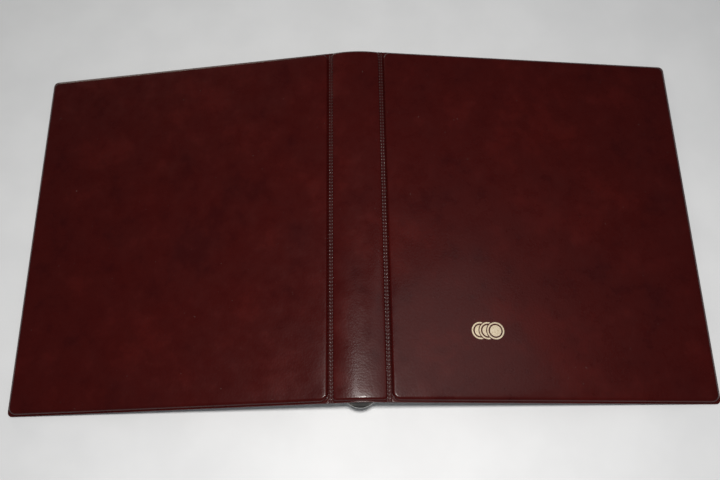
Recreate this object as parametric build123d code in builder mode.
"""A padded A4 coin album: welded covers, a four-ring mechanism and its coin sheets.

The album lies open and face down, standing on its rings and on the fore-edges of its covers.
X runs across the spine with the front cover at +X, Y runs from foot to head, Z is up, and the
origin is on the table under the middle of the spine.
"""

import os
from math import asin, atan2, cos, degrees, radians, sin, sqrt, tan

from build123d import *

# Covers and spine
album_height = 315.0  # foot to head, over the weld flange
hinge_spacing = 44.8  # between the two hinge lines
hinge_height = 37.3  # hinge lines above the table
cover_reach = 268.0  # hinge line to fore-edge
hinge_weld_reach = 2.0  # half the width of a hinge weld
flange_width = 1.2  # welded rim outside the padding
cover_corner = 4.0
pad_corner = 6.0
hinge_clearance = 0.3

lining_thickness = 0.4
board_thickness = 2.0
cover_foam = 1.5
spine_foam = 1.0
skin_thickness = 0.6
board_clearance = 0.25
edge_roll = 3.0  # radius of a cover's padded edge
spine_edge_roll = 2.4
spine_arch = 2.6  # rise of the spine's inner face between its edges

# Stamped emblem on the front cover: overlapping coin rings
emblem_reach = 80.0  # hinge line to the emblem's centre
emblem_y = -101.0
emblem_thickness = 0.15
coin_radius = 7.0
coin_line = 1.2  # width of a coin's rim
coin_field = 4.6  # radius of the disc inside the rim
coin_gap = 0.8  # left clear round a coin that lies on another
coin_pitch = 6.2

# Ring mechanism
ring_pitch = 80.0
ring_radius = 15.0  # of the wire's centre line
wire_radius = 1.5
wire_bend = 4.0
shank_x = 8.5
ring_gap = 0.1
nib_radius = 0.7
nib_length = 0.9
nib_clearance = 0.12
nib_taper = 15.0

case_length = 280.0
case_half_width = 13.0
case_thickness = 0.8
case_slot_depth_left = 0.9  # height of the case's edge below the ring slots
case_lip = 1.9
case_lip_thickness = 0.35
case_lip_inset = 0.3  # below the case's seat
case_hole_clearance = 0.4

blade_length = 262.0
blade_thickness = 0.9
blade_clearance = 0.08
blade_gap = 0.3
blade_drop = 1.15  # middle of the blades below the case's seat
tenon_radius = 1.0
tenon_head_radius = 1.4
tenon_head = 0.3

rivet_y = 100.0
rivet_radius = 2.0
rivet_head_radius = 3.8
rivet_head = 1.0
rivet_notch_radius = 3.2
rivet_rounding = 0.8  # share of the head's height
rivet_end_gap = 0.1  # shank end below the top of the board

# Opening levers, one at each end of the mechanism
lever_pivot_y = 138.0
lever_tip_y = 160.3
lever_pivot_drop = 0.3  # pivot axis below the blades' axis
lever_thickness = 1.0
lever_plate_drop = 2.1  # underside of the lever's plate below its pivot
lever_heel = 3.5  # pivot to the start of the sloping tab
lever_web = 5.0  # pivot to the web that joins the plate to the nose
lever_nose = 8.5  # pivot to the tip of the nose
tab_half_width = 10.5
tab_end_radius = 14.7
tab_slope = 13.0
tab_curl = 1.2
tab_trim = 0.01  # the blank's end stands this far outside the rounded end that trims it
waist_half_width = 7.8
waist_reach = 1.0  # pivot to the end of the waist
neck_half_width = 4.0
nose_half_width = 2.5
nose_thickness = 0.7
nose_clearance = 0.3
ear_thickness = 1.0
ear_length = 4.5
ear_offset = 0.25  # middle of an ear outside the pivot
ear_rise = 1.6  # top of an ear above the pivot
pin_radius = 0.9
pin_clearance = 0.05

# Coin sheets
sheets_per_side = 3
sheet_inner = 3.0  # from the ring centre to the sheet's bound edge
sheet_outer = 235.0
sheet_height = 300.0
sheet_thickness = 0.6
sheet_pitch = 1.0
sheet_first = 0.3
sheet_corner = 3.0
sheet_hole_width = 6.0
sheet_hole_inner = 12.6
sheet_hole_outer = 21.9

# Worked out from the sizes above
hinge_x = hinge_spacing / 2
weld_thickness = lining_thickness + skin_thickness
cover_slope = degrees(
    asin(hinge_height / sqrt(cover_reach**2 + (weld_thickness / 2) ** 2))
    - atan2(weld_thickness / 2, cover_reach)
)
panel_start = hinge_weld_reach + hinge_clearance
cover_layers = lining_thickness + board_thickness + cover_foam + skin_thickness
spine_layers = lining_thickness + board_thickness + spine_foam + skin_thickness

spine_edge_x = hinge_x - hinge_weld_reach
spine_edge_z = hinge_height - weld_thickness / 2
arch_radius = (spine_edge_x**2 + spine_arch**2) / (2 * spine_arch)
arch_z = spine_edge_z + spine_arch - arch_radius
arch_angle = degrees(asin(spine_edge_x / arch_radius))

ring_z = ring_radius + wire_radius
ring_places = [(i - 1.5) * ring_pitch for i in range(4)]

case_crown = ring_z + ring_radius
case_seat = arch_z + sqrt(arch_radius**2 - case_half_width**2)
case_depth = case_seat - case_crown
case_radius = (case_half_width**2 + case_depth**2) / (2 * case_depth)
case_z = case_crown + case_radius

blade_z = case_seat - blade_drop
blade_reach = case_radius - case_thickness - blade_clearance - blade_thickness / 2
blade_x = sqrt(blade_reach**2 - (case_z - blade_z) ** 2)

lever_z = blade_z - lever_pivot_drop
sheet_slope = degrees(asin(ring_z / sheet_outer) + sheet_first / sheet_outer)


def cover_plane(side):
    """The inner face of a cover: x runs from the hinge to the fore-edge, z points outwards."""
    tilt = radians(cover_slope)
    half = weld_thickness / 2
    origin = (side * (hinge_x - half * sin(tilt)), 0, hinge_height - half * cos(tilt))
    return Plane(
        origin=origin,
        x_dir=(side * cos(tilt), 0, -sin(tilt)),
        z_dir=(side * sin(tilt), 0, cos(tilt)),
    )


def sheet_plane(side):
    """The plane through the rings' centres that a stack of sheets lies along."""
    tilt = radians(sheet_slope)
    return Plane(
        origin=(0, 0, ring_z),
        x_dir=(side * cos(tilt), 0, -sin(tilt)),
        z_dir=(side * sin(tilt), 0, cos(tilt)),
    )


def save(piece, name):
    """Label a finished piece and write it."""
    piece.part.label = name
    export_step(piece.part, f"parts/{name}.step")


def cover_outline():
    """A cover from its hinge weld to its fore-edge, with the two outer corners rounded."""
    with BuildSketch() as outline:
        with Locations(((panel_start + cover_reach) / 2, 0)):
            Rectangle(cover_reach - panel_start, album_height)
        fillet(outline.vertices().group_by(Axis.X)[-1], cover_corner)
    return outline.sketch


def pad_outline(inset):
    """The padded field of a cover, inside its welded flange."""
    start = panel_start + inset
    end = cover_reach - flange_width - inset
    with BuildSketch() as outline:
        with Locations(((start + end) / 2, 0)):
            RectangleRounded(
                end - start,
                album_height - 2 * (flange_width + inset),
                pad_corner - inset,
            )
    return outline.sketch


def cover_filling(side):
    """The space inside a cover's skin: the board and, above it, the foam."""
    plane = cover_plane(side)
    height = board_thickness + cover_foam
    with BuildPart() as filling:
        with BuildSketch(plane.offset(lining_thickness)):
            add(pad_outline(skin_thickness))
        extrude(amount=height)
        outward = Axis(plane.origin, plane.z_dir)
        fillet(filling.edges().group_by(outward)[-1], edge_roll - skin_thickness)
    return filling.part


def emblem_form():
    """Foil stamped flush into the front cover: three coins that overlap in a row."""
    foil = cover_plane(1).offset(cover_layers - emblem_thickness)
    with BuildPart() as emblem:
        with BuildSketch(foil):
            for step in (-1, 0, 1):
                with Locations((emblem_reach + step * coin_pitch, emblem_y)):
                    if step > -1:
                        Circle(coin_radius + coin_gap, mode=Mode.SUBTRACT)
                    Circle(coin_radius)
                    Circle(coin_radius - coin_line, mode=Mode.SUBTRACT)
                    Circle(coin_field)
        extrude(amount=emblem_thickness)
    return emblem.part


def cover_skin(side, name):
    """Leatherette over the outside of a cover, down to the flange."""
    plane = cover_plane(side)
    with BuildPart() as skin:
        with BuildSketch(plane.offset(weld_thickness)):
            add(pad_outline(0))
        extrude(amount=cover_layers - weld_thickness)
        outward = Axis(plane.origin, plane.z_dir)
        fillet(skin.edges().group_by(outward)[-1], edge_roll)
        with BuildSketch(plane.offset(lining_thickness)):
            add(cover_outline())
        extrude(amount=skin_thickness)
        add(cover_filling(side), mode=Mode.SUBTRACT)
        if side > 0:
            add(emblem_form(), mode=Mode.SUBTRACT)
    save(skin, f"{name}_cover_skin")


def cover_foam_pad(side, name):
    """Foam between a cover's board and its skin."""
    board_top = cover_plane(side).offset(lining_thickness + board_thickness)
    with BuildPart() as foam:
        add(cover_filling(side))
        split(bisect_by=board_top, keep=Keep.TOP)
    save(foam, f"{name}_cover_foam")


def cover_board(side, name):
    """Stiff board that keeps a cover flat."""
    with BuildPart() as board:
        with BuildSketch(cover_plane(side).offset(lining_thickness)):
            add(pad_outline(skin_thickness + board_clearance))
        extrude(amount=board_thickness)
    save(board, f"{name}_cover_board")


def cover_lining(side, name):
    """Smooth sheet that closes the inside of a cover."""
    with BuildPart() as lining:
        with BuildSketch(cover_plane(side)):
            add(cover_outline())
        extrude(amount=lining_thickness)
    save(lining, f"{name}_cover_lining")


def hinge_weld(side, name):
    """Flat welded strip that a cover bends along."""
    tilt = radians(cover_slope)
    half = weld_thickness / 2
    edge = radians(arch_angle)
    outer = arch_radius + weld_thickness

    def on_cover(height):
        x = hinge_x + hinge_weld_reach * cos(tilt) + height * sin(tilt)
        z = hinge_height - hinge_weld_reach * sin(tilt) + height * cos(tilt)
        return (side * x, z)

    with BuildPart() as weld:
        with BuildSketch(Plane.XZ):
            with BuildLine():
                Polyline(
                    (side * spine_edge_x, spine_edge_z),
                    (side * hinge_x, hinge_height - half),
                    on_cover(-half),
                    on_cover(half),
                    (side * hinge_x, hinge_height + half),
                    (side * outer * sin(edge), arch_z + outer * cos(edge)),
                    close=True,
                )
            make_face()
        extrude(amount=album_height / 2, both=True)
    save(weld, f"{name}_hinge_weld")


def cover_emblem():
    """The front cover's emblem."""
    with BuildPart() as emblem:
        add(emblem_form())
    save(emblem, "cover_emblem")


def spine_section(low, high, angle):
    """Cross-section of one layer of the arched spine, by its heights above the inner face."""
    with BuildSketch(Plane.XZ) as section:
        with BuildLine():
            inner = CenterArc((0, arch_z), arch_radius + low, 90 - angle, 2 * angle)
            outer = CenterArc((0, arch_z), arch_radius + high, 90 - angle, 2 * angle)
            Line(inner @ 0, outer @ 0)
            Line(inner @ 1, outer @ 1)
        make_face()
    return section.sketch


def outer_rim(part):
    """Edges round the outermost arched face of a spine layer."""
    arched = part.faces().filter_by(GeomType.CYLINDER)
    return arched.sort_by(SortBy.AREA)[-1].edges()


def spine_filling():
    """The space inside the spine's skin: the board and, above it, the foam."""
    inset = degrees(skin_thickness / arch_radius)
    top = spine_layers - skin_thickness
    length = album_height - 2 * (flange_width + skin_thickness)
    with BuildPart() as filling:
        extrude(spine_section(lining_thickness, top, arch_angle - inset), amount=length / 2, both=True)
        fillet(outer_rim(filling), spine_edge_roll - skin_thickness)
    return filling.part


def spine_skin():
    """Leatherette over the outside of the spine, with a welded flange at head and foot."""
    length = album_height - 2 * flange_width
    with BuildPart() as skin:
        extrude(spine_section(weld_thickness, spine_layers, arch_angle), amount=length / 2, both=True)
        fillet(outer_rim(skin), spine_edge_roll)
        extrude(
            spine_section(lining_thickness, weld_thickness, arch_angle),
            amount=album_height / 2,
            both=True,
        )
        add(spine_filling(), mode=Mode.SUBTRACT)
    save(skin, "spine_skin")


def spine_board():
    """Curved board, pierced for the two rivets."""
    inset = degrees((skin_thickness + board_clearance) / arch_radius)
    length = album_height - 2 * (flange_width + skin_thickness + board_clearance)
    top = lining_thickness + board_thickness
    with BuildPart() as board:
        extrude(spine_section(lining_thickness, top, arch_angle - inset), amount=length / 2, both=True)
        rivet_holes()
    save(board, "spine_board")


def spine_foam_pad():
    """Foam over the spine's board."""
    board_top = lining_thickness + board_thickness
    with BuildPart() as foam:
        add(spine_filling())
        extrude(
            spine_section(0, board_top, arch_angle + 1),
            amount=album_height / 2,
            both=True,
            mode=Mode.SUBTRACT,
        )
    save(foam, "spine_foam")


def spine_lining():
    """Smooth sheet under the spine, pierced for the two rivets."""
    with BuildPart() as lining:
        extrude(spine_section(0, lining_thickness, arch_angle), amount=album_height / 2, both=True)
        rivet_holes()
    save(lining, "spine_lining")


def rivet_holes():
    """Cut the two rivet shanks out of the piece being built."""
    with Locations((0, rivet_y, case_crown), (0, -rivet_y, case_crown)):
        Cylinder(
            rivet_radius,
            hinge_height,
            align=(Align.CENTER, Align.CENTER, Align.MIN),
            mode=Mode.SUBTRACT,
        )


def mechanism_case():
    """Arched spring-steel case, open towards the spine, with slots for the rings."""
    inner_radius = case_radius - case_thickness
    slot_inner = shank_x - wire_radius - case_hole_clearance
    slot_outer = shank_x + wire_radius + 3 * case_hole_clearance
    lip_edge = sqrt(inner_radius**2 - (case_z - case_seat) ** 2)
    with BuildPart() as case:
        with BuildSketch(Plane.XZ):
            with Locations((0, case_z)):
                Circle(case_radius)
                Circle(inner_radius, mode=Mode.SUBTRACT)
            with Locations((0, case_seat)):
                Rectangle(
                    2 * case_half_width,
                    case_depth,
                    align=(Align.CENTER, Align.MAX),
                    mode=Mode.INTERSECT,
                )
            for side in (-1, 1):
                lip_middle = lip_edge - case_lip / 2 + case_lip_inset
                with Locations((side * lip_middle, case_seat - case_lip_inset)):
                    Rectangle(case_lip, case_lip_thickness)
        extrude(amount=case_length / 2, both=True)
        with BuildSketch(Plane.XY.offset(case_crown)):
            for side in (-1, 1):
                with Locations(*[(side * (slot_inner + slot_outer) / 2, y) for y in ring_places]):
                    Rectangle(slot_outer - slot_inner, 2 * (wire_radius + case_hole_clearance))
        extrude(amount=case_depth - case_slot_depth_left, mode=Mode.SUBTRACT)
        with BuildSketch(Plane.YZ):
            with Locations((lever_pivot_y, lever_z), (-lever_pivot_y, lever_z)):
                Circle(pin_radius)
        extrude(amount=case_half_width, both=True, mode=Mode.SUBTRACT)
        rivet_holes()
    save(case, "mechanism_case")


def mechanism_rivets():
    """Two rivets that clamp the case to the spine's board."""
    board_top = arch_z + arch_radius + lining_thickness + board_thickness
    with BuildPart() as rivets:
        for y in (-rivet_y, rivet_y):
            with BuildSketch(Plane.XY.offset(case_crown)):
                with Locations((0, y)):
                    Circle(rivet_radius)
            extrude(amount=board_top - case_crown - rivet_end_gap)
            with BuildSketch(Plane.XY.offset(case_crown - rivet_head)) as head:
                with Locations((0, y)):
                    Circle(rivet_head_radius)
            extrude(amount=rivet_head)
        fillet(rivets.edges().group_by(Axis.Z)[0], rivet_head * rivet_rounding)
    save(rivets, "mechanism_rivets")


def blade(side, name):
    """Spring plate that carries one half of every ring and turns in the edge of the case."""
    with BuildPart() as plate:
        with BuildSketch(Plane.XZ):
            with Locations((side * (blade_x + blade_gap / 2) / 2, blade_z)):
                Rectangle(blade_x - blade_gap / 2, blade_thickness)
            with Locations((side * blade_x, blade_z)):
                Circle(blade_thickness / 2)
        extrude(amount=blade_length / 2, both=True)
        with Locations(*[(side * shank_x, y, blade_z) for y in ring_places]):
            Cylinder(tenon_radius, 2 * blade_thickness, mode=Mode.SUBTRACT)
        with Locations((0, rivet_y, blade_z), (0, -rivet_y, blade_z)):
            Cylinder(rivet_notch_radius, 2 * blade_thickness, mode=Mode.SUBTRACT)
    save(plate, f"{name}_ring_blade")


def half_ring_wire(y):
    """The front half of a ring: bent wire with a shouldered tenon for the blade."""
    bend_x = shank_x + wire_bend
    bend_rise = sqrt((ring_radius + wire_bend) ** 2 - bend_x**2)
    lean = degrees(atan2(bend_rise, bend_x))
    start = -90 + degrees(ring_gap / 2 / ring_radius)
    blade_under = blade_z - blade_thickness / 2
    with BuildPart() as wire:
        with BuildLine(Plane.XZ.offset(-y)) as path:
            CenterArc((0, ring_z), ring_radius, start, lean - start)
            CenterArc((bend_x, ring_z + bend_rise), wire_bend, 180 + lean, -lean)
            Line((shank_x, ring_z + bend_rise), (shank_x, blade_under))
        with BuildSketch(Plane(origin=path.line @ 0, z_dir=path.line % 0)):
            Circle(wire_radius)
        sweep()
        with BuildSketch(Plane.XY.offset(blade_under)):
            with Locations((shank_x, y)):
                Circle(tenon_radius)
        extrude(amount=blade_thickness)
        with BuildSketch(Plane.XY.offset(blade_under + blade_thickness)):
            with Locations((shank_x, y)):
                Circle(tenon_head_radius)
        extrude(amount=tenon_head)
    return wire.part


def half_ring(side, name, number):
    """One half of a ring. The front half ends in a nib that the back half's tip takes."""
    y = ring_places[number - 1]
    tip = Plane(origin=(ring_gap / 2, y, ring_z - ring_radius), z_dir=(-1, 0, 0))
    with BuildPart() as ring:
        if side > 0:
            add(half_ring_wire(y))
            with BuildSketch(tip):
                Circle(nib_radius)
            extrude(amount=nib_length, taper=nib_taper)
        else:
            mirror(half_ring_wire(y), about=Plane.YZ)
            with BuildSketch(tip):
                Circle(nib_radius + nib_clearance)
            extrude(amount=nib_length + 2 * nib_clearance, taper=nib_taper, mode=Mode.SUBTRACT)
    save(ring, f"{name}_half_ring_{number}")


def foot_lever_form():
    """Bent steel lever: a thumb tab outside the case and a nose that pushes the blades."""
    pivot = -lever_pivot_y
    under = lever_z - lever_plate_drop
    over = under + lever_thickness
    heel = pivot - lever_heel
    web = pivot + lever_web
    nose = pivot + lever_nose
    curl_start = tab_curl - lever_tip_y
    fall = (heel - curl_start) * tan(radians(tab_slope))
    nose_under = blade_z + blade_thickness / 2 + nose_clearance
    nose_over = nose_under + nose_thickness
    tab_corner = -lever_tip_y + tab_end_radius - sqrt(tab_end_radius**2 - tab_half_width**2)
    with BuildPart() as lever:
        with BuildSketch(Plane.YZ):
            with BuildLine():
                Polyline(
                    (nose, nose_under),
                    (web, nose_under),
                    (web, under),
                    (heel, under),
                    (curl_start, under - fall),
                    (-lever_tip_y, under - fall - tab_curl),
                    (-lever_tip_y - tab_trim, over - fall - tab_curl),
                    (curl_start, over - fall),
                    (heel, over),
                    (web - lever_thickness, over),
                    (web - lever_thickness, nose_over),
                    (nose, nose_over),
                    close=True,
                )
            make_face()
        extrude(amount=tab_half_width, both=True)
        with BuildSketch(Plane.XY.offset(under - fall - 2 * tab_curl)):
            with Locations((0, -lever_tip_y + tab_end_radius)):
                Circle(tab_end_radius)
            with Locations((0, -lever_tip_y)):
                Rectangle(
                    2 * tab_half_width,
                    2 * (tab_corner + lever_tip_y),
                    mode=Mode.INTERSECT,
                )
            for half_width, low, high in (
                (tab_half_width, tab_corner, heel),
                (waist_half_width, heel, pivot + waist_reach),
                (neck_half_width, pivot + waist_reach, web - lever_thickness),
                (nose_half_width, web - lever_thickness, nose),
            ):
                with Locations((0, (low + high) / 2)):
                    Rectangle(2 * half_width, high - low)
        extrude(amount=hinge_height, mode=Mode.INTERSECT)
        for outside in (-waist_half_width, waist_half_width - ear_thickness):
            with BuildSketch(Plane.YZ.offset(outside)):
                with Locations((pivot - ear_offset, over)):
                    Rectangle(ear_length, lever_z + ear_rise - over, align=(Align.CENTER, Align.MIN))
            extrude(amount=ear_thickness)
        with BuildSketch(Plane.YZ):
            with Locations((pivot, lever_z)):
                Circle(pin_radius + pin_clearance)
        extrude(amount=tab_half_width, both=True, mode=Mode.SUBTRACT)
    return lever.part


def levers():
    """The two opening levers, one the mirror image of the other."""
    with BuildPart() as foot_lever:
        add(foot_lever_form())
    save(foot_lever, "foot_lever")
    with BuildPart() as head_lever:
        mirror(foot_lever_form(), about=Plane.XZ)
    save(head_lever, "head_lever")


def lever_pin(end, name):
    """Pin across the case that a lever turns on."""
    with BuildPart() as pin:
        with BuildSketch(Plane.YZ):
            with Locations((end * lever_pivot_y, lever_z)):
                Circle(pin_radius)
        extrude(amount=case_half_width - case_thickness, both=True)
    save(pin, f"{name}_lever_pin")


def coin_sheet(side, name, number):
    """Clear pocket sheet with four slotted holes, bound on the rings."""
    low = sheet_first + (number - 1) * sheet_pitch
    hole_centre = (sheet_hole_inner + sheet_hole_outer) / 2
    with BuildPart() as sheet:
        with BuildSketch(sheet_plane(side).offset(low)):
            with Locations(((sheet_inner + sheet_outer) / 2, 0)):
                RectangleRounded(sheet_outer - sheet_inner, sheet_height, sheet_corner)
            with Locations(*[(hole_centre, y) for y in ring_places]):
                SlotOverall(
                    sheet_hole_outer - sheet_hole_inner, sheet_hole_width, mode=Mode.SUBTRACT
                )
        extrude(amount=sheet_thickness)
    save(sheet, f"{name}_coin_sheet_{number}")


def main():
    os.makedirs("parts", exist_ok=True)
    spine_skin()
    spine_foam_pad()
    spine_board()
    spine_lining()
    mechanism_case()
    mechanism_rivets()
    levers()
    for end, name in ((1, "head"), (-1, "foot")):
        lever_pin(end, name)
    for side, name in ((1, "front"), (-1, "back")):
        cover_skin(side, name)
        cover_foam_pad(side, name)
        cover_board(side, name)
        cover_lining(side, name)
        hinge_weld(side, name)
        blade(side, name)
        for number in range(1, len(ring_places) + 1):
            half_ring(side, name, number)
        for number in range(1, sheets_per_side + 1):
            coin_sheet(side, name, number)
    cover_emblem()


main()
